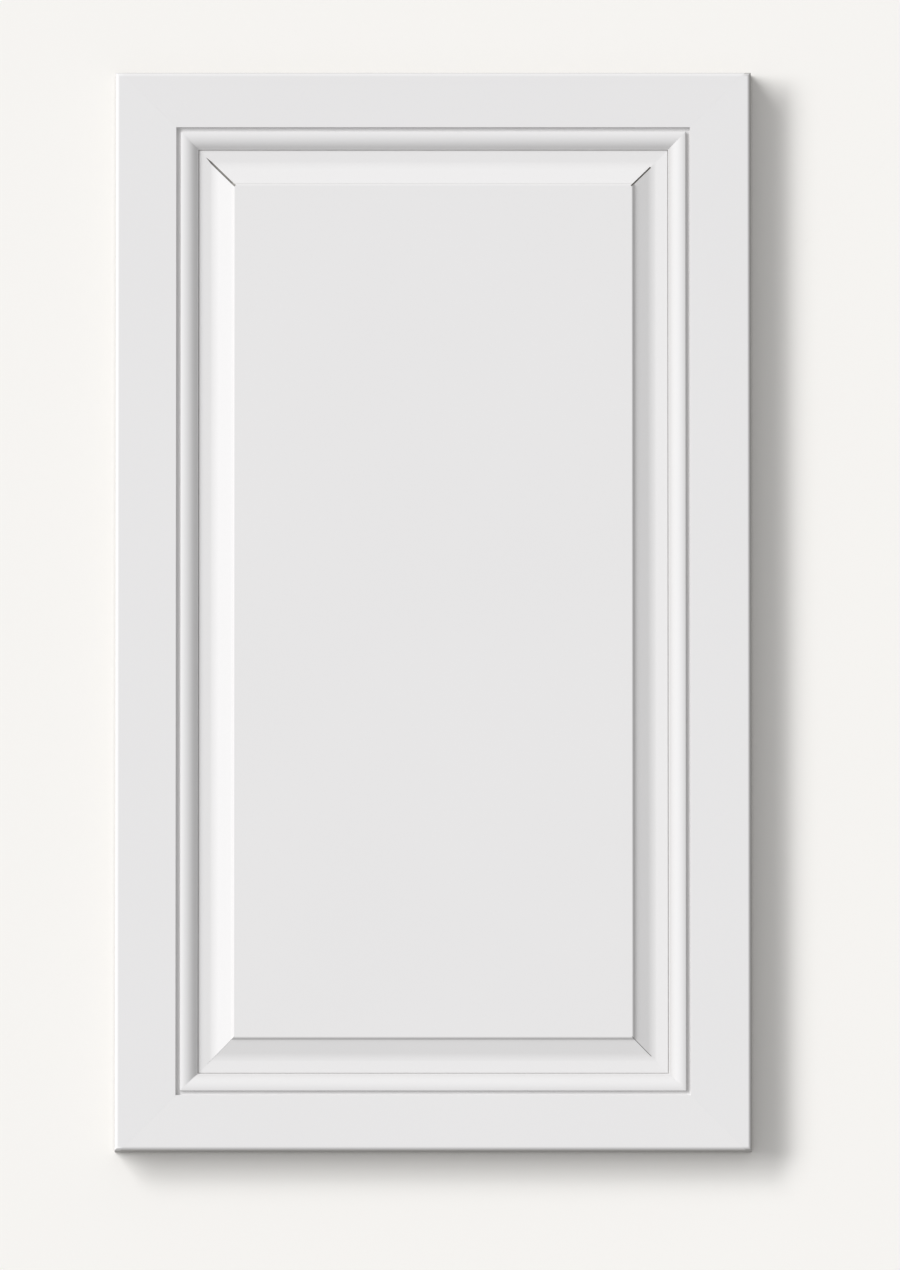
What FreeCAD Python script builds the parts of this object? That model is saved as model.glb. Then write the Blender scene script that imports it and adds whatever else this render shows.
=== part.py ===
import FreeCAD, Part
import os
from math import atan2, hypot, radians, tan

# A mitred frame-and-panel wainscot panel, lying on its back with its face up.
# Millimetres. X runs across the panel, Y up it, Z out of its face.
# The origin is the centre of the back.

# Overall size
panel_width = 508.0
panel_height = 864.0
frame_thickness = 22.0

# Frame members, from the outer edge to the middle of the quirk
stile_face = 50.5
rail_face = 46.0

# Rounded front edge of the glued-up panel
front_arris_radius = 3.2

# Sticking on the frame's inner edge, from the middle of the quirk inwards
quirk_width = 3.6
quirk_depth = 2.4
bead_edge_drop = 0.5
bead_crest_from_quirk = 4.9
bead_crest_drop = 0.2
bead_fall_run = 10.2
fillet_run = 0.5
sight_land = 0.8

# Groove in the frame and the panel's tongue in it
margin_depth = 5.2
tongue_thickness = 6.35
groove_depth = 10.0
groove_clearance = 0.15
panel_float = 2.0
back_gap = 1.2

# Raise of the panel, from the sight edge inwards
sight_quirk_run = 0.7
sight_quirk_depth = 0.9
margin_run = 9.9
margin_fall = 0.5
cove_run = 6.6
bevel_run = 10.5
bevel_angle = 15.5
shoulder_run = 0.95
shoulder_rise = 1.05
field_arris_run = 1.5
field_arris_rise = 0.7

# Heights and runs that follow from the sizes above
margin_z = frame_thickness - margin_depth
back_lip = margin_z - tongue_thickness
groove_top_z = margin_z + groove_clearance
fillet_z = groove_top_z + sight_land
bead_crest_z = frame_thickness - bead_crest_drop
bead_edge_z = frame_thickness - bead_edge_drop
quirk_z = frame_thickness - quirk_depth
sticking_run = bead_crest_from_quirk + bead_fall_run + fillet_run
sight_quirk_z = margin_z - sight_quirk_depth
margin_low_z = margin_z - margin_fall
cove_top_z = margin_low_z + cove_run * tan(radians(bevel_angle) / 2)
bevel_top_z = cove_top_z + bevel_run * tan(radians(bevel_angle))
shoulder_top_z = bevel_top_z + shoulder_rise
field_z = shoulder_top_z + field_arris_rise

# Half sizes of the sight opening, the clear space inside the frame
sight_x = panel_width / 2 - stile_face - sticking_run
sight_y = panel_height / 2 - rail_face - sticking_run


def tangent_arc_middle(start, end, start_slope):
    """Middle of the arc from start to end that leaves start at start_slope (radians, up is positive)."""
    run = end[0] - start[0]
    rise = end[1] - start[1]
    chord = hypot(run, rise)
    bow = chord / 2 * tan((start_slope - atan2(rise, run)) / 2)
    return ((start[0] + end[0]) / 2 - bow * rise / chord, (start[1] + end[1]) / 2 + bow * run / chord)


def arc_from(start, end, start_slope):
    """A stretch of outline: the arc from start to end that leaves start at start_slope."""
    return (tangent_arc_middle(start, end, start_slope), end)


def arc_into(start, end, end_slope):
    """A stretch of outline: the arc from start to end that reaches end at end_slope."""
    back_along = (2 * end[0] - start[0], 2 * end[1] - start[1])
    mirrored_middle = tangent_arc_middle(end, back_along, end_slope)
    return ((2 * end[0] - mirrored_middle[0], 2 * end[1] - mirrored_middle[1]), end)


def outline_face(start, stretches, place):
    """Closed flat face from a start point and stretches, each an end point or an arc's (middle, end)."""
    edges = []
    here = start
    for stretch in stretches:
        if isinstance(stretch[0], tuple):
            middle, there = stretch
            edges.append(Part.Arc(place(here), place(middle), place(there)).toShape())
        else:
            there = stretch
            edges.append(Part.LineSegment(place(here), place(there)).toShape())
        here = there
    return Part.Face(Part.Wire(edges))


def member_outline(face_run):
    """Section of a stile or rail: how far in from its outer edge, and how high."""
    sight = face_run + sticking_run
    groove_floor = sight - groove_depth
    quirk_outer = face_run - quirk_width / 2
    quirk_inner = face_run + quirk_width / 2
    bead_edge = (quirk_inner, bead_edge_z)
    crest = (face_run + bead_crest_from_quirk, bead_crest_z)
    bead_foot = (crest[0] + bead_fall_run, fillet_z)
    start = (0.0, 0.0)
    stretches = [
        (0.0, frame_thickness),
        (quirk_outer, frame_thickness),
        (quirk_outer, quirk_z),
        (quirk_inner, quirk_z),
        bead_edge,
        arc_into(bead_edge, crest, 0.0),
        arc_from(crest, bead_foot, 0.0),
        (sight, fillet_z),
        (sight, groove_top_z),
        (groove_floor, groove_top_z),
        (groove_floor, back_lip),
        (sight, back_lip),
        (sight, 0.0),
        start,
    ]
    return start, stretches


def board_outline(sight_half):
    """Section of the raised panel across one direction, from its left tongue to its right one."""
    tongue_tip = sight_half + groove_depth - panel_float
    cove_start = sight_half - margin_run
    cove_end = cove_start - cove_run
    bevel_end = cove_end - bevel_run
    shoulder_top = bevel_end - shoulder_run
    field_edge = shoulder_top - field_arris_run
    back_edge = sight_half - back_gap
    sight_quirk_end = sight_half - sight_quirk_run
    start = (-tongue_tip, back_lip)
    stretches = [
        (-tongue_tip, margin_z),
        (-sight_half, margin_z),
        (-sight_half, sight_quirk_z),
        (-sight_quirk_end, sight_quirk_z),
        (-sight_quirk_end, margin_z),
        (-cove_start, margin_low_z),
        arc_from((-cove_start, margin_low_z), (-cove_end, cove_top_z), 0.0),
        (-bevel_end, bevel_top_z),
        (-shoulder_top, shoulder_top_z),
        arc_into((-shoulder_top, shoulder_top_z), (-field_edge, field_z), 0.0),
        (field_edge, field_z),
        arc_from((field_edge, field_z), (shoulder_top, shoulder_top_z), 0.0),
        (bevel_end, bevel_top_z),
        (cove_end, cove_top_z),
        arc_into((cove_end, cove_top_z), (cove_start, margin_low_z), 0.0),
        (sight_quirk_end, margin_z),
        (sight_quirk_end, sight_quirk_z),
        (sight_half, sight_quirk_z),
        (sight_half, margin_z),
        (tongue_tip, margin_z),
        (tongue_tip, back_lip),
        (back_edge, back_lip),
        (back_edge, 0.0),
        (-back_edge, 0.0),
        (-back_edge, back_lip),
        start,
    ]
    return start, stretches


def eased_blank():
    """The whole panel's outer block, with its front edges rounded."""
    corner = FreeCAD.Vector(-panel_width / 2, -panel_height / 2, 0)
    block = Part.makeBox(panel_width, panel_height, frame_thickness, corner)
    front = [edge for edge in block.Edges if edge.BoundBox.ZMin > frame_thickness / 2]
    return block.makeFillet(front_arris_radius, front)


def mitre_wedge(inner_half, inner_at, along_y):
    """Space between a side's two mitres: it starts at the sight edge and widens outwards at 45 degrees."""
    reach = max(stile_face, rail_face) + sticking_run + front_arris_radius
    corners = [
        (-inner_half, inner_at),
        (inner_half, inner_at),
        (inner_half + reach, inner_at + reach),
        (-inner_half - reach, inner_at + reach),
    ]
    corners.append(corners[0])
    if along_y:
        points = [FreeCAD.Vector(-away, along, 0) for along, away in corners]
    else:
        points = [FreeCAD.Vector(along, away, 0) for along, away in corners]
    return Part.Face(Part.makePolygon(points)).extrude(FreeCAD.Vector(0, 0, frame_thickness))


def left_stile():
    """Left stile: its section drawn up the panel, mitred at both ends and eased."""

    def place(point):
        return FreeCAD.Vector(point[0] - panel_width / 2, -panel_height / 2, point[1])

    start, stretches = member_outline(stile_face)
    length = outline_face(start, stretches, place).extrude(FreeCAD.Vector(0, panel_height, 0))
    return length.common(mitre_wedge(sight_y, sight_x, True)).common(eased_blank())


def top_rail():
    """Top rail: its section drawn across the panel, mitred at both ends and eased."""

    def place(point):
        return FreeCAD.Vector(-panel_width / 2, panel_height / 2 - point[0], point[1])

    start, stretches = member_outline(rail_face)
    length = outline_face(start, stretches, place).extrude(FreeCAD.Vector(panel_width, 0, 0))
    return length.common(mitre_wedge(sight_x, sight_y, False)).common(eased_blank())


def raised_board():
    """Centre panel: a section run up the board meets one run across it, which leaves sharp hips at the corners."""
    tongue_reach = groove_depth - panel_float

    def place_across(point):
        return FreeCAD.Vector(point[0], -sight_y - tongue_reach, point[1])

    def place_up(point):
        return FreeCAD.Vector(-sight_x - tongue_reach, point[0], point[1])

    across = outline_face(*board_outline(sight_x), place_across)
    up = outline_face(*board_outline(sight_y), place_up)
    run_up = across.extrude(FreeCAD.Vector(0, 2 * (sight_y + tongue_reach), 0))
    run_across = up.extrude(FreeCAD.Vector(2 * (sight_x + tongue_reach), 0, 0))
    return run_up.common(run_across)


def one_solid(shape):
    """The single clean solid of a shape."""
    return shape.removeSplitter().Solids[0]


origin = FreeCAD.Vector(0, 0, 0)
across_mirror = FreeCAD.Vector(1, 0, 0)
up_mirror = FreeCAD.Vector(0, 1, 0)
stile = one_solid(left_stile())
rail = one_solid(top_rail())
pieces = {
    "stile_left": stile,
    "stile_right": stile.mirror(origin, across_mirror),
    "rail_top": rail,
    "rail_bottom": rail.mirror(origin, up_mirror),
    "raised_panel": one_solid(raised_board()),
}

os.makedirs("parts", exist_ok=True)
for node, solid in pieces.items():
    solid.exportStep("parts/" + node + ".step")
    box = solid.BoundBox
    print(node, solid.ShapeType, solid.isValid(), round(solid.Volume), box)
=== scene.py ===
from math import atan2, cos, hypot, pi, radians, sin, tan

import bmesh
import bpy
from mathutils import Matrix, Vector


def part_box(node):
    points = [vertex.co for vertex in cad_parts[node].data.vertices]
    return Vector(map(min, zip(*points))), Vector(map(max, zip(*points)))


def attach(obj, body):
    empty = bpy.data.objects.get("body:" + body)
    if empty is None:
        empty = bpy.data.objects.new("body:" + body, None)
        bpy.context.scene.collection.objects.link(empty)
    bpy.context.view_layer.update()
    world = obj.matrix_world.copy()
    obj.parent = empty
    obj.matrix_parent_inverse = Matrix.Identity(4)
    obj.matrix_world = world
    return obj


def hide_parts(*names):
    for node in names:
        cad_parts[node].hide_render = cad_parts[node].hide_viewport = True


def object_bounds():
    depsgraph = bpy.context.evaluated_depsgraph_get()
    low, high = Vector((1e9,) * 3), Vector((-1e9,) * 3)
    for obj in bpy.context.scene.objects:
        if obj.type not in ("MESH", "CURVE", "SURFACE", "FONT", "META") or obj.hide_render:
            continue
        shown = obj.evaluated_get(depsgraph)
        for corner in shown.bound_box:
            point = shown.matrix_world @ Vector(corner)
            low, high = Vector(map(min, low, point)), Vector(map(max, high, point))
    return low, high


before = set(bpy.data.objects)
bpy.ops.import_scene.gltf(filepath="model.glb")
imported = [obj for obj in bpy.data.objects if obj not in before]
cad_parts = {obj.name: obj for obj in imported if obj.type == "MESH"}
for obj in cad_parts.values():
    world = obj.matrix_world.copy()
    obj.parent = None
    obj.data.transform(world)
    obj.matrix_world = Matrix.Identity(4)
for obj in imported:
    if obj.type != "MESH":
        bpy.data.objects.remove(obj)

cad_low, cad_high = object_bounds()

# Sizes read from the frame, in metres
panel_half_width = cad_high.x
panel_half_height = cad_high.y
frame_thickness = cad_high.z
_, stile_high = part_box("stile_left")
rail_low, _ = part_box("rail_top")
_, board_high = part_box("raised_panel")
sight_x = -stile_high.x
sight_y = rail_low.y
tongue_reach = board_high.x - sight_x
field_z = board_high.z

# Rounded front edge of the glued-up panel
front_arris_radius = 0.0032
front_arris_steps = 8

# Sticking on the frame's inner edge, from the middle of the quirk inwards
quirk_width = 0.0036
quirk_depth = 0.0024
bead_edge_drop = 0.0005
bead_edge_steps = 8
bead_crest_from_quirk = 0.0049
bead_crest_drop = 0.0002
bead_fall_run = 0.0102
bead_fall_steps = 16
fillet_run = 0.0005
sight_land = 0.0008
sticking_run = bead_crest_from_quirk + bead_fall_run + fillet_run

# Groove in the frame and the board's tongue in it
margin_depth = 0.0052
tongue_thickness = 0.00635
groove_depth = 0.010
groove_clearance = 0.00015
back_gap = 0.0012

# Raise of the board, from the sight edge inwards. Paint lies in the sight quirk and makes it shallower.
sight_quirk_run = 0.0007
sight_quirk_depth = 0.0009
sight_quirk_paint = 0.0004
margin_run = 0.0099
margin_fall = 0.0005
cove_run = 0.0066
cove_steps = 10
bevel_run = 0.0105
bevel_angle = radians(15.5)
shoulder_run = 0.00095
shoulder_rise = 0.00105
field_arris_run = 0.0015
field_arris_steps = 8

# The panel's corners: left or right, then bottom or top
upper_right = (1, 1)
upper_left = (-1, 1)
lower_left = (-1, -1)
lower_right = (1, -1)
corners_in_turn = (upper_right, upper_left, lower_left, lower_right)

# Fine relief: corners softened by paint, open mitres and the lines scored down the hips of the raise
paint_ease = 0.0003
paint_ease_share = 0.4
paint_ease_turn = radians(20)
paint_ease_steps = 4
quirk_lead = 4 * paint_ease
mitre_gap = 0.00002
hip_score_depth = 0.0018
hip_score_half_widths = {upper_left: 0.0012, upper_right: 0.0010, lower_right: 0.0003, lower_left: 0.0001}
hip_score_starts = {upper_left: 0.006, upper_right: 0.0145, lower_right: 0.0145, lower_left: 0.006}

# Limits used in meshing
sharp_turn = radians(30)
cut_tolerance = 0.0000001
hair = 0.00001

# Places of the materials on a piece
paint_place = 0
primer_place = 1
score_place = 2

margin_z = frame_thickness - margin_depth
margin_low_z = margin_z - margin_fall
back_lip = margin_z - tongue_thickness
groove_top_z = margin_z + groove_clearance
fillet_z = groove_top_z + sight_land
bead_crest_z = frame_thickness - bead_crest_drop
quirk_z = frame_thickness - quirk_depth
sight_quirk_z = margin_z - sight_quirk_depth + sight_quirk_paint
stile_face = panel_half_width - sight_x - sticking_run
rail_face = panel_half_height - sight_y - sticking_run


# Outlines

def arc_from(start, end, start_slope, steps):
    """Points after start on the arc to end that leaves start at start_slope."""
    run = end[0] - start[0]
    rise = end[1] - start[1]
    lean = start_slope - atan2(rise, run)
    radius = hypot(run, rise) / (2 * sin(lean))
    points = []
    for step in range(1, steps + 1):
        part = lean * step / steps
        reach = 2 * radius * sin(part)
        slope = start_slope - part
        points.append((start[0] + reach * cos(slope), start[1] + reach * sin(slope)))
    return points


def arc_into(start, end, end_slope, steps):
    """Points after start on the arc that reaches end at end_slope."""
    turned = arc_from((-end[0], end[1]), (-start[0], start[1]), -end_slope, steps)
    return [(-x, z) for x, z in reversed(turned[:-1])] + [end]


def softened(points):
    """An outline with its sharp corners rounded as a coat of paint leaves them."""
    soft = [points[0]]
    for before, corner, after in zip(points, points[1:], points[2:]):
        arrive = Vector(corner) - Vector(before)
        leave = Vector(after) - Vector(corner)
        if arrive.angle(leave) < paint_ease_turn:
            soft.append(corner)
            continue
        cut = min(paint_ease, paint_ease_share * arrive.length, paint_ease_share * leave.length)
        first = Vector(corner) - arrive.normalized() * cut
        last = Vector(corner) + leave.normalized() * cut
        for step in range(paint_ease_steps + 1):
            part = step / paint_ease_steps
            bend = Vector(corner) * 2 * part * (1 - part)
            soft.append(tuple(first * (1 - part) ** 2 + bend + last * part ** 2))
    return soft + [points[-1]]


def sticking_outline():
    """The sticking, from just outside the quirk to the foot of the sight edge."""
    quirk_half = quirk_width / 2
    bead_edge = (quirk_half, frame_thickness - bead_edge_drop)
    crest = (bead_crest_from_quirk, bead_crest_z)
    bead_foot = (bead_crest_from_quirk + bead_fall_run, fillet_z)
    points = [(-quirk_half - quirk_lead, frame_thickness), (-quirk_half, frame_thickness)]
    points += [(-quirk_half, quirk_z), (quirk_half, quirk_z), bead_edge]
    points += arc_into(bead_edge, crest, 0.0, bead_edge_steps)
    points += arc_from(crest, bead_foot, 0.0, bead_fall_steps)
    points += [(sticking_run, fillet_z), (sticking_run, groove_top_z)]
    return softened(points)


def raise_outline():
    """The raise of the board: distance in from the sight edge, and height."""
    cove_start = (margin_run, margin_low_z)
    cove_end = (margin_run + cove_run, margin_low_z + cove_run * tan(bevel_angle / 2))
    bevel_end = (cove_end[0] + bevel_run, cove_end[1] + bevel_run * tan(bevel_angle))
    shoulder_top = (bevel_end[0] + shoulder_run, bevel_end[1] + shoulder_rise)
    field_edge = (shoulder_top[0] + field_arris_run, field_z)
    points = [cove_start]
    points += arc_from(cove_start, cove_end, 0.0, cove_steps)
    points += [bevel_end, shoulder_top]
    points += arc_into(shoulder_top, field_edge, 0.0, field_arris_steps)
    return softened(points)


# Mesh helpers

def shade(bm, creases=()):
    """Smooth faces, with sharp edges at the creases and wherever two faces turn by more than the limit."""
    bmesh.ops.recalc_face_normals(bm, faces=bm.faces)
    for face in bm.faces:
        face.smooth = True
    for edge in bm.edges:
        turns_gently = len(edge.link_faces) == 2 and edge.calc_face_angle() < sharp_turn
        edge.smooth = turns_gently and edge not in creases


def piece_from(bm, name, node, materials):
    """Makes a shown piece of a finished mesh, in place of its node."""
    mesh = bpy.data.meshes.new(name)
    bm.to_mesh(mesh)
    bm.free()
    for material in materials:
        mesh.materials.append(material)
    piece = bpy.data.objects.new(name, mesh)
    bpy.context.scene.collection.objects.link(piece)
    even = piece.modifiers.new("even_normals", "WEIGHTED_NORMAL")
    even.keep_sharp = True
    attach(piece, "root")
    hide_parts(node)
    return piece


# Frame members

def frame_ring():
    """The whole frame as one ring, its section carried round all four sides."""
    bm = bmesh.new()
    section = [(0.0, 0.0, 0.0), (0.0, 0.0, frame_thickness - front_arris_radius)]
    for step in range(1, front_arris_steps + 1):
        turn = pi / 2 * step / front_arris_steps
        inward = front_arris_radius * (1 - cos(turn))
        section.append((inward, inward, frame_thickness - front_arris_radius * (1 - sin(turn))))
    section += [(stile_face + run, rail_face + run, height) for run, height in sticking_outline()]
    groove = [(-groove_depth, groove_top_z), (-groove_depth, back_lip), (0.0, back_lip), (0.0, 0.0)]
    for run, height in groove:
        section.append((stile_face + sticking_run + run, rail_face + sticking_run + run, height))
    rings = []
    for on_stile, on_rail, height in section:
        x = panel_half_width - on_stile
        y = panel_half_height - on_rail
        rings.append([bm.verts.new((x * side, y * end, height)) for side, end in corners_in_turn])
    for first, second in zip(rings, rings[1:] + rings[:1]):
        for at in range(len(first)):
            after = (at + 1) % len(first)
            bm.faces.new((first[at], first[after], second[after], second[at]))
    bmesh.ops.recalc_face_normals(bm, faces=bm.faces)
    return bm


def frame_member(name, outwards, materials):
    """A stile or rail: the part of the frame between its two mitres."""
    bm = frame_ring()
    along = Vector((-outwards.y, outwards.x, 0.0))
    sight_half = sight_y if outwards.x else sight_x
    sight_at = sight_x if outwards.x else sight_y
    for way in (-1, 1):
        mitre_normal = (along * way - outwards).normalized()
        mitre_point = outwards * sight_at + along * way * sight_half - mitre_normal * mitre_gap / 2
        cut = bmesh.ops.bisect_plane(bm, geom=bm.verts[:] + bm.edges[:] + bm.faces[:], dist=cut_tolerance,
                                     plane_co=mitre_point, plane_no=mitre_normal, clear_outer=True)
        rim = [item for item in cut["geom_cut"] if isinstance(item, bmesh.types.BMEdge)]
        bmesh.ops.edgeloop_fill(bm, edges=rim)
    shade(bm)
    for face in bm.faces:
        middle = face.calc_center_median()
        inner = middle.dot(outwards) < sight_at + groove_depth + hair and middle.z < groove_top_z + hair
        face.material_index = primer_place if middle.z < hair or inner else paint_place
    return piece_from(bm, name + "_moulded", name, materials)


# Raised board

def raised_board(materials):
    """The centre board in rings from its back, round its tongue and up its raise, with scored hips."""
    bm = bmesh.new()
    points_at_hip = 3
    creases = set()

    def plain_ring(inward, height):
        """A ring with one point at each corner, named as often as a scored corner has points."""
        ring = []
        for sign_x, sign_y in corners_in_turn:
            corner = bm.verts.new((sign_x * (sight_x - inward), sign_y * (sight_y - inward), height))
            ring += [corner] * points_at_hip
        return ring

    def scored_ring(inward, height):
        """A ring with the two sides and the bottom of a scored line at each corner."""
        ring = []
        for sign_x, sign_y in corners_in_turn:
            x = sign_x * (sight_x - inward)
            y = sign_y * (sight_y - inward)
            half_width = hip_score_half_widths[sign_x, sign_y]
            depth = hip_score_depth if inward > hip_score_starts[sign_x, sign_y] else 0.0
            beside_x = bm.verts.new((x, y - sign_y * half_width, height))
            beside_y = bm.verts.new((x - sign_x * half_width, y, height))
            deep = bm.verts.new((x, y, height - depth))
            ring += [beside_x, deep, beside_y] if sign_x * sign_y > 0 else [beside_y, deep, beside_x]
        return ring

    def join(first, second):
        """Faces from ring to ring, with creases down the corners and the scored lines in their own colour."""
        for at in range(len(first)):
            after = (at + 1) % len(first)
            corners = list(dict.fromkeys((first[at], first[after], second[after], second[at])))
            if len(corners) < 3:
                continue
            face = bm.faces.new(corners)
            hip = at // points_at_hip * points_at_hip
            beside, deep = second[hip:hip + 2]
            if at - hip < points_at_hip - 1 and deep.co.z < beside.co.z:
                face.material_index = score_place
        creases.update(bm.edges.get(pair) for pair in zip(first, second))

    raise_points = raise_outline()
    score_start = min(hip_score_starts.values())
    score_start_share = (score_start - sight_quirk_run) / (margin_run - sight_quirk_run)
    score_start_z = margin_z - margin_fall * score_start_share
    back_points = [(back_gap, 0.0), (back_gap, back_lip), (-tongue_reach, back_lip), (-tongue_reach, margin_z),
                   (0.0, margin_z), (0.0, sight_quirk_z), (sight_quirk_run, sight_quirk_z),
                   (sight_quirk_run, margin_z), (score_start, score_start_z)]
    rings = [plain_ring(*point) for point in back_points]
    rings += [scored_ring(*point) for point in raise_points[:-1]]
    rings.append(plain_ring(*raise_points[-1]))
    for first, second in zip(rings, rings[1:]):
        join(first, second)
    for ring in (rings[0], rings[-1]):
        bm.faces.new(list(dict.fromkeys(ring)))
    shade(bm, creases)
    for face in bm.faces:
        middle = face.calc_center_median()
        if middle.z < back_lip + hair or abs(middle.x) > sight_x or abs(middle.y) > sight_y:
            face.material_index = primer_place
    return piece_from(bm, "raised_panel_board", "raised_panel", materials)


# Shader helpers

def put(tree, kind, settings=None, values=None):
    """Adds a node, makes its settings, and gives its inputs constants or links from other nodes."""
    made = tree.nodes.new(kind)
    for key, value in (settings or {}).items():
        setattr(made, key, value)
    for key, value in (values or {}).items():
        if isinstance(value, bpy.types.NodeSocket):
            tree.links.new(value, made.inputs[key])
        else:
            made.inputs[key].default_value = value
    return made


def reckon(tree, operation, *terms, clamp=False):
    """The result of one math operation on its terms, each a constant or another node's output."""
    settings = {"operation": operation, "use_clamp": clamp}
    return put(tree, "ShaderNodeMath", settings, dict(enumerate(terms))).outputs[0]


def ramp(tree, value, start, end):
    """A value brought to 0 at start and 1 at end."""
    limits = {"Value": value, "From Min": start, "From Max": end, "To Min": 0.0, "To Max": 1.0}
    return put(tree, "ShaderNodeMapRange", values=limits).outputs[0]


def noise(tree, place, scale, detail, roughness=0.5):
    """Smooth noise over a place, from 0 to 1."""
    values = {"Vector": place, "Scale": scale, "Detail": detail, "Roughness": roughness}
    return put(tree, "ShaderNodeTexNoise", values=values).outputs["Fac"]


def openness(tree, reach):
    """How open the surface is within a reach: 1 on an open face, less in a corner."""
    return put(tree, "ShaderNodeAmbientOcclusion", {"samples": 8}, {"Distance": reach}).outputs["AO"]


def colour_mix(tree, share, first, second):
    """Two colours mixed: a share of 0 gives the first and 1 the second."""
    first_colour, second_colour, mixed_colour = 6, 7, 2
    values = {"Factor": share, first_colour: first, second_colour: second}
    return put(tree, "ShaderNodeMix", {"data_type": "RGBA"}, values).outputs[mixed_colour]


def new_group(name, inputs, outputs):
    """An empty shader group with named inputs and outputs: the group, what it is given and its end node."""
    group = bpy.data.node_groups.new(name, "ShaderNodeTree")
    for label, kind in inputs:
        group.interface.new_socket(label, in_out="INPUT", socket_type=kind)
    for label, kind in outputs:
        group.interface.new_socket(label, in_out="OUTPUT", socket_type=kind)
    return group, put(group, "NodeGroupInput").outputs, put(group, "NodeGroupOutput")


# Paint: its colours, the scale of its noise to the metre, and its painted shade: a grey on slopes and upright
# edges, held back in closed corners, and a darker grey where surfaces close in
shade_grey = (0.37, 0.362, 0.353, 1)
corner_shade_grey = (0.50, 0.485, 0.465, 1)
corner_shade_reach = 0.005
corner_shade_start_openness = 0.75
corner_shade_full_openness = 0.25
shade_relief_reach = 0.004
unshaded_openness = 0.45
fully_shaded_openness = 0.8
flat_facing = 1.0
steep_facing = 0.2
edge_start_facing = 0.4
upright_facing = 0.0
noise_middle = 0.5
drift_scale = 5.0
peel_scale = 700.0
dullness_drift = 0.25
paint_shine = 0.2


def make_paint_and_shade_group():
    """A sprayed coat with drifting tone, grain and peel in relief, and painted shade: slopes and upright edges
    darkened towards a grey.
    """
    group, given, result = new_group(
        "sprayed_paint_and_shade",
        [("Paint", "NodeSocketColor"), ("Tone Drift", "NodeSocketFloat"),
         ("Grain Stretch", "NodeSocketVector"), ("Grain Relief", "NodeSocketFloat"),
         ("Peel Relief", "NodeSocketFloat"), ("Dullness", "NodeSocketFloat"),
         ("Shade Grey", "NodeSocketColor"), ("Slope Shading", "NodeSocketFloat"),
         ("Edge Shading", "NodeSocketFloat")],
        [("Colour", "NodeSocketColor"), ("Roughness", "NodeSocketFloat"), ("Height", "NodeSocketFloat")])
    surface = put(group, "ShaderNodeTexCoord").outputs
    place = surface["Object"]
    drift = reckon(group, "SUBTRACT", noise(group, place, drift_scale, detail=3.0), noise_middle)

    tone = reckon(group, "MULTIPLY_ADD", drift, given["Tone Drift"], 1.0)
    toned = put(group, "ShaderNodeVectorMath", {"operation": "SCALE"}, {0: given["Paint"], "Scale": tone})

    # Painted shade: slopes and upright edges are darkened towards the grey, less so in closed corners
    facing = put(group, "ShaderNodeSeparateXYZ", values={0: surface["Normal"]}).outputs["Z"]
    on_slopes = reckon(group, "MULTIPLY", ramp(group, facing, flat_facing, steep_facing), given["Slope Shading"])
    on_edges = reckon(group, "MULTIPLY", ramp(group, facing, edge_start_facing, upright_facing),
                      given["Edge Shading"])
    shade_kept = ramp(group, openness(group, shade_relief_reach), unshaded_openness, fully_shaded_openness)
    shade_share = reckon(group, "MULTIPLY", reckon(group, "MAXIMUM", on_slopes, on_edges), shade_kept)
    shaded_paint = colour_mix(group, shade_share, toned.outputs[0], given["Shade Grey"])

    roughness = reckon(group, "MULTIPLY_ADD", drift, dullness_drift, given["Dullness"])

    stretched = put(group, "ShaderNodeVectorMath", {"operation": "MULTIPLY"},
                    {0: place, 1: given["Grain Stretch"]})
    grain = noise(group, stretched.outputs[0], scale=1.0, detail=5.0, roughness=0.6)
    grain_height = reckon(group, "MULTIPLY", grain, given["Grain Relief"])
    peel = noise(group, place, peel_scale, detail=2.0)
    height = reckon(group, "MULTIPLY_ADD", peel, given["Peel Relief"], grain_height)

    for label, value in (("Colour", shaded_paint), ("Roughness", roughness), ("Height", height)):
        group.links.new(value, result.inputs[label])
    return group


def make_corner_shade_group():
    """Painted shade: the colour darkened towards a grey where surfaces close in on each other."""
    group, given, result = new_group(
        "painted_corner_shade",
        [("Colour", "NodeSocketColor"), ("Shade Colour", "NodeSocketColor"), ("Amount", "NodeSocketFloat"),
         ("Reach", "NodeSocketFloat")],
        [("Colour", "NodeSocketColor")])
    closed = ramp(group, openness(group, given["Reach"]), corner_shade_start_openness, corner_shade_full_openness)
    mask = reckon(group, "MULTIPLY", closed, given["Amount"], clamp=True)
    group.links.new(colour_mix(group, mask, given["Colour"], given["Shade Colour"]), result.inputs["Colour"])
    return group


paint_and_shade = make_paint_and_shade_group()
painted_corner_shade = make_corner_shade_group()


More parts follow.
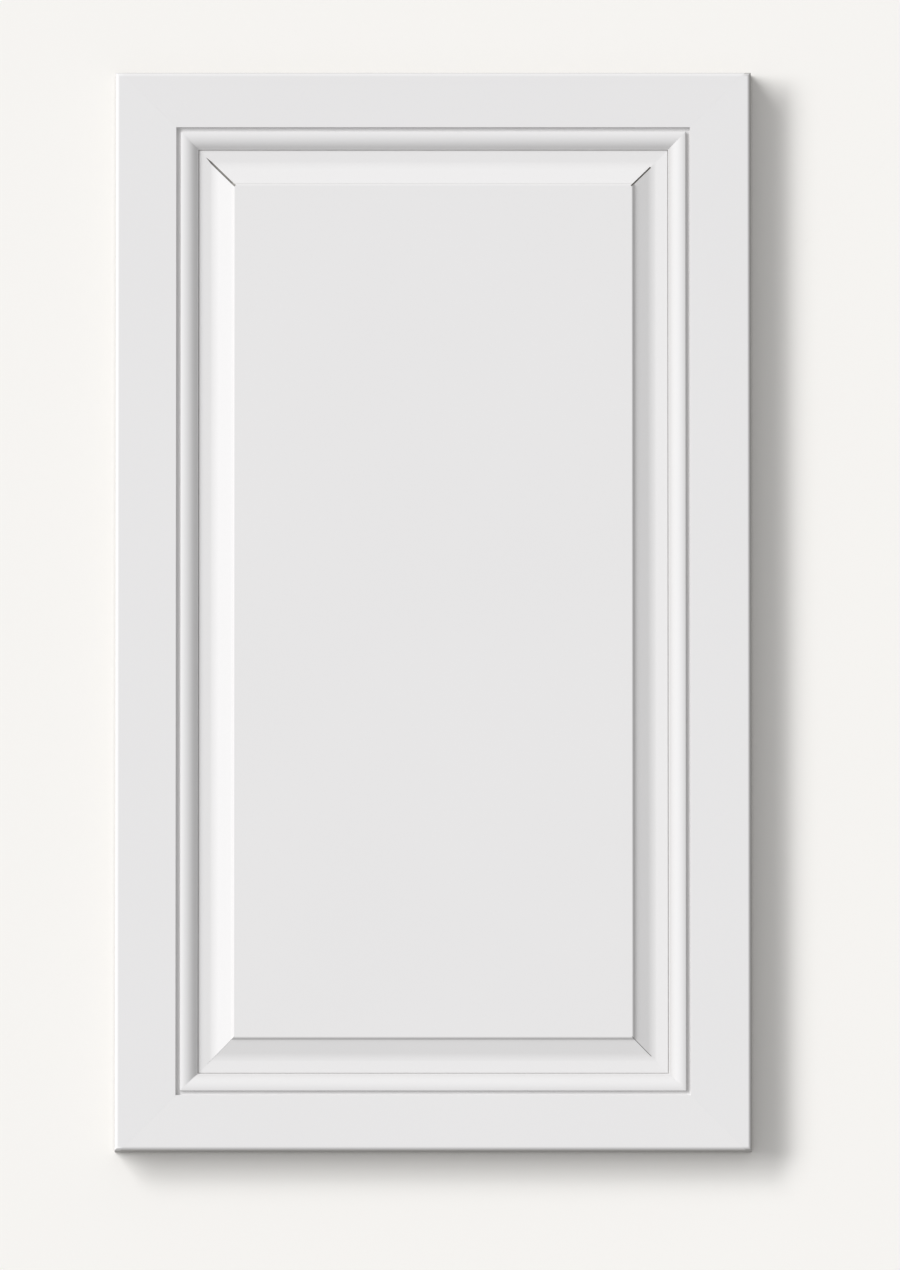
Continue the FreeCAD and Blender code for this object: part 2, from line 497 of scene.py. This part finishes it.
def painted(name, paint, drift, grain_stretch, grain_relief, peel_relief, dullness, corner_shade_amount,
            slope_shading=0.0, edge_shading=0.0):
    """A material of one coat of paint, with painted shade in its corners and, where asked, on its slopes and
    upright edges.
    """
    material = bpy.data.materials.new(name)
    material.use_nodes = True
    tree = material.node_tree
    shader = tree.nodes["Principled BSDF"]
    shader.inputs["Specular IOR Level"].default_value = paint_shine
    coat = put(tree, "ShaderNodeGroup", {"node_tree": paint_and_shade},
               {"Paint": (*paint, 1), "Tone Drift": drift, "Grain Stretch": grain_stretch,
                "Grain Relief": grain_relief, "Peel Relief": peel_relief, "Dullness": dullness,
                "Shade Grey": shade_grey, "Slope Shading": slope_shading, "Edge Shading": edge_shading})
    # Painted shade in the corners, darker the more closed in they are
    corner_shaded = put(tree, "ShaderNodeGroup", {"node_tree": painted_corner_shade},
                 {"Colour": coat.outputs["Colour"], "Shade Colour": corner_shade_grey, "Amount": corner_shade_amount, "Reach": corner_shade_reach})
    relief = put(tree, "ShaderNodeBump",
                 values={"Strength": 1.0, "Distance": 1.0, "Height": coat.outputs["Height"]})
    tree.links.new(corner_shaded.outputs["Colour"], shader.inputs["Base Color"])
    tree.links.new(coat.outputs["Roughness"], shader.inputs["Roughness"])
    tree.links.new(relief.outputs["Normal"], shader.inputs["Normal"])
    return material


def member_paint_and_shade(name, paint, grain_stretch, corner_shade_amount, slope_shading):
    """The coat on one frame member, with its own amount of painted shade on its slopes and the same painted
    shade as the others on its upright edges.
    """
    return painted(name, paint, drift=0.03, grain_stretch=grain_stretch, grain_relief=0.00001,
                   peel_relief=0.000004, dullness=0.80, corner_shade_amount=corner_shade_amount, slope_shading=slope_shading, edge_shading=1.0)


# Materials
grain_up = (260, 9, 260)
grain_across = (9, 260, 260)
stile_white = (0.800, 0.793, 0.797)
top_rail_white = (0.796, 0.788, 0.792)
bottom_rail_white = (0.808, 0.800, 0.803)
# Each member gets its own amount of painted shade on its slopes, more on the right stile and bottom rail than
# on the left stile and top rail, following how the light falls
left_stile_paint = member_paint_and_shade("left_stile_white_paint", stile_white, grain_up, corner_shade_amount=0.2, slope_shading=0.62)
right_stile_paint = member_paint_and_shade("right_stile_white_paint", stile_white, grain_up, corner_shade_amount=0.2, slope_shading=2.1)
top_rail_paint = member_paint_and_shade("top_rail_white_paint", top_rail_white, grain_across, corner_shade_amount=0.0, slope_shading=0.74)
bottom_rail_paint = member_paint_and_shade("bottom_rail_white_paint", bottom_rail_white, grain_across,
                                 corner_shade_amount=0.0, slope_shading=1.1)
board_paint = painted("board_white_paint", (0.803, 0.795, 0.797), drift=0.03, grain_stretch=(40, 40, 40),
                      grain_relief=0.000004, peel_relief=0.000004, dullness=0.78, corner_shade_amount=0.5, slope_shading=0.85)
back_primer = painted("back_primer", (0.70, 0.685, 0.66), drift=0.10, grain_stretch=(30, 30, 30),
                      grain_relief=0.00003, peel_relief=0.00001, dullness=0.75, corner_shade_amount=0.3)
hip_score = painted("hip_score", (0.34, 0.325, 0.31), drift=0.15, grain_stretch=(200, 200, 200),
                    grain_relief=0.00003, peel_relief=0.00001, dullness=0.80, corner_shade_amount=0.3)

# Pieces
frame_member("stile_left", Vector((-1, 0, 0)), [left_stile_paint, back_primer])
frame_member("stile_right", Vector((1, 0, 0)), [right_stile_paint, back_primer])
frame_member("rail_top", Vector((0, 1, 0)), [top_rail_paint, back_primer])
frame_member("rail_bottom", Vector((0, -1, 0)), [bottom_rail_paint, back_primer])
raised_board([board_paint, back_primer, hip_score])

# Floor: pale paper, with a painted contact shadow where the panel meets it
pale_paper = (0.93, 0.915, 0.89)
floor_paper = painted("floor_paper", pale_paper, drift=0.01, grain_stretch=(60, 60, 60),
                      grain_relief=0.0, peel_relief=0.0, dullness=0.85, corner_shade_amount=1.0)
floor_half = 30.0
floor_z = -0.0001
floor_mesh = bpy.data.meshes.new("floor")
floor_mesh.from_pydata([(-floor_half, -floor_half, floor_z), (floor_half, -floor_half, floor_z),
                        (floor_half, floor_half, floor_z), (-floor_half, floor_half, floor_z)],
                       [], [(0, 1, 2, 3)])
floor_mesh.materials.append(floor_paper)
floor = bpy.data.objects.new("floor", floor_mesh)
bpy.context.scene.collection.objects.link(floor)

# Light: an even room, and a row of windows to the left that stand a little above the panel
room_strength = 0.475
window_elevation = radians(28)
window_middle = radians(28)
window_spread = radians(11.5)
window_count = 5
window_energy = 3.43
window_angle = radians(15)

world = bpy.data.worlds.new("soft_room")
bpy.context.scene.world = world
world.use_nodes = True
room = world.node_tree
room_light = room.nodes["Background"]
room_light.inputs["Color"].default_value = (1.0, 1.0, 1.0, 1)
room_light.inputs["Strength"].default_value = room_strength
backdrop = put(room, "ShaderNodeBackground", values={"Color": (*pale_paper, 1), "Strength": 1.0})
ray = put(room, "ShaderNodeLightPath").outputs
seen_or_mirrored = reckon(room, "MAXIMUM", ray["Is Camera Ray"], ray["Is Glossy Ray"])
seen_at_all = reckon(room, "MAXIMUM", seen_or_mirrored, ray["Is Transmission Ray"])
room_mix = put(room, "ShaderNodeMixShader",
               values={"Fac": seen_at_all, 1: room_light.outputs[0], 2: backdrop.outputs[0]})
room.links.new(room_mix.outputs[0], room.nodes["World Output"].inputs["Surface"])


def far_light(name, bearing, elevation, energy, angle):
    """A far light; its bearing is turned from the left towards the panel's top."""
    light_data = bpy.data.lights.new(name, "SUN")
    light_data.energy = energy
    light_data.angle = angle
    light = bpy.data.objects.new(name, light_data)
    towards = Vector((-cos(bearing) * cos(elevation), sin(bearing) * cos(elevation), sin(elevation)))
    light.rotation_mode = "QUATERNION"
    light.rotation_quaternion = towards.to_track_quat("Z", "Y")
    bpy.context.scene.collection.objects.link(light)


for window in range(window_count):
    window_bearing = window_middle + window_spread * (window - (window_count - 1) / 2)
    far_light("window_light", window_bearing, window_elevation, window_energy / window_count, window_angle)

# Camera above the panel, leaning a little towards its foot so that the bottom edge just shows
photo_width = 900
photo_height = 1270
panel_centre_px = (433.2, 610.4)
panel_height_px = 1082.2
camera_distance = 20.0
camera_lean = radians(5)
metres_per_px = 2 * panel_half_height / panel_height_px
camera_data = bpy.data.cameras.new("camera")
camera_data.sensor_width = 36.0
camera_data.lens = camera_data.sensor_width * camera_distance / (photo_height * metres_per_px)
camera_data.clip_end = 1000.0
camera = bpy.data.objects.new("camera", camera_data)
camera_across = (photo_width / 2 - panel_centre_px[0]) * metres_per_px
camera_up = (panel_centre_px[1] - photo_height / 2) * metres_per_px
camera.location = (camera_across,
                   camera_up * cos(camera_lean) - camera_distance * sin(camera_lean),
                   frame_thickness + camera_up * sin(camera_lean) + camera_distance * cos(camera_lean))
camera.rotation_euler = (camera_lean, 0.0, 0.0)
bpy.context.scene.collection.objects.link(camera)
bpy.context.scene.camera = camera

bpy.context.scene.view_settings.view_transform = "Standard"
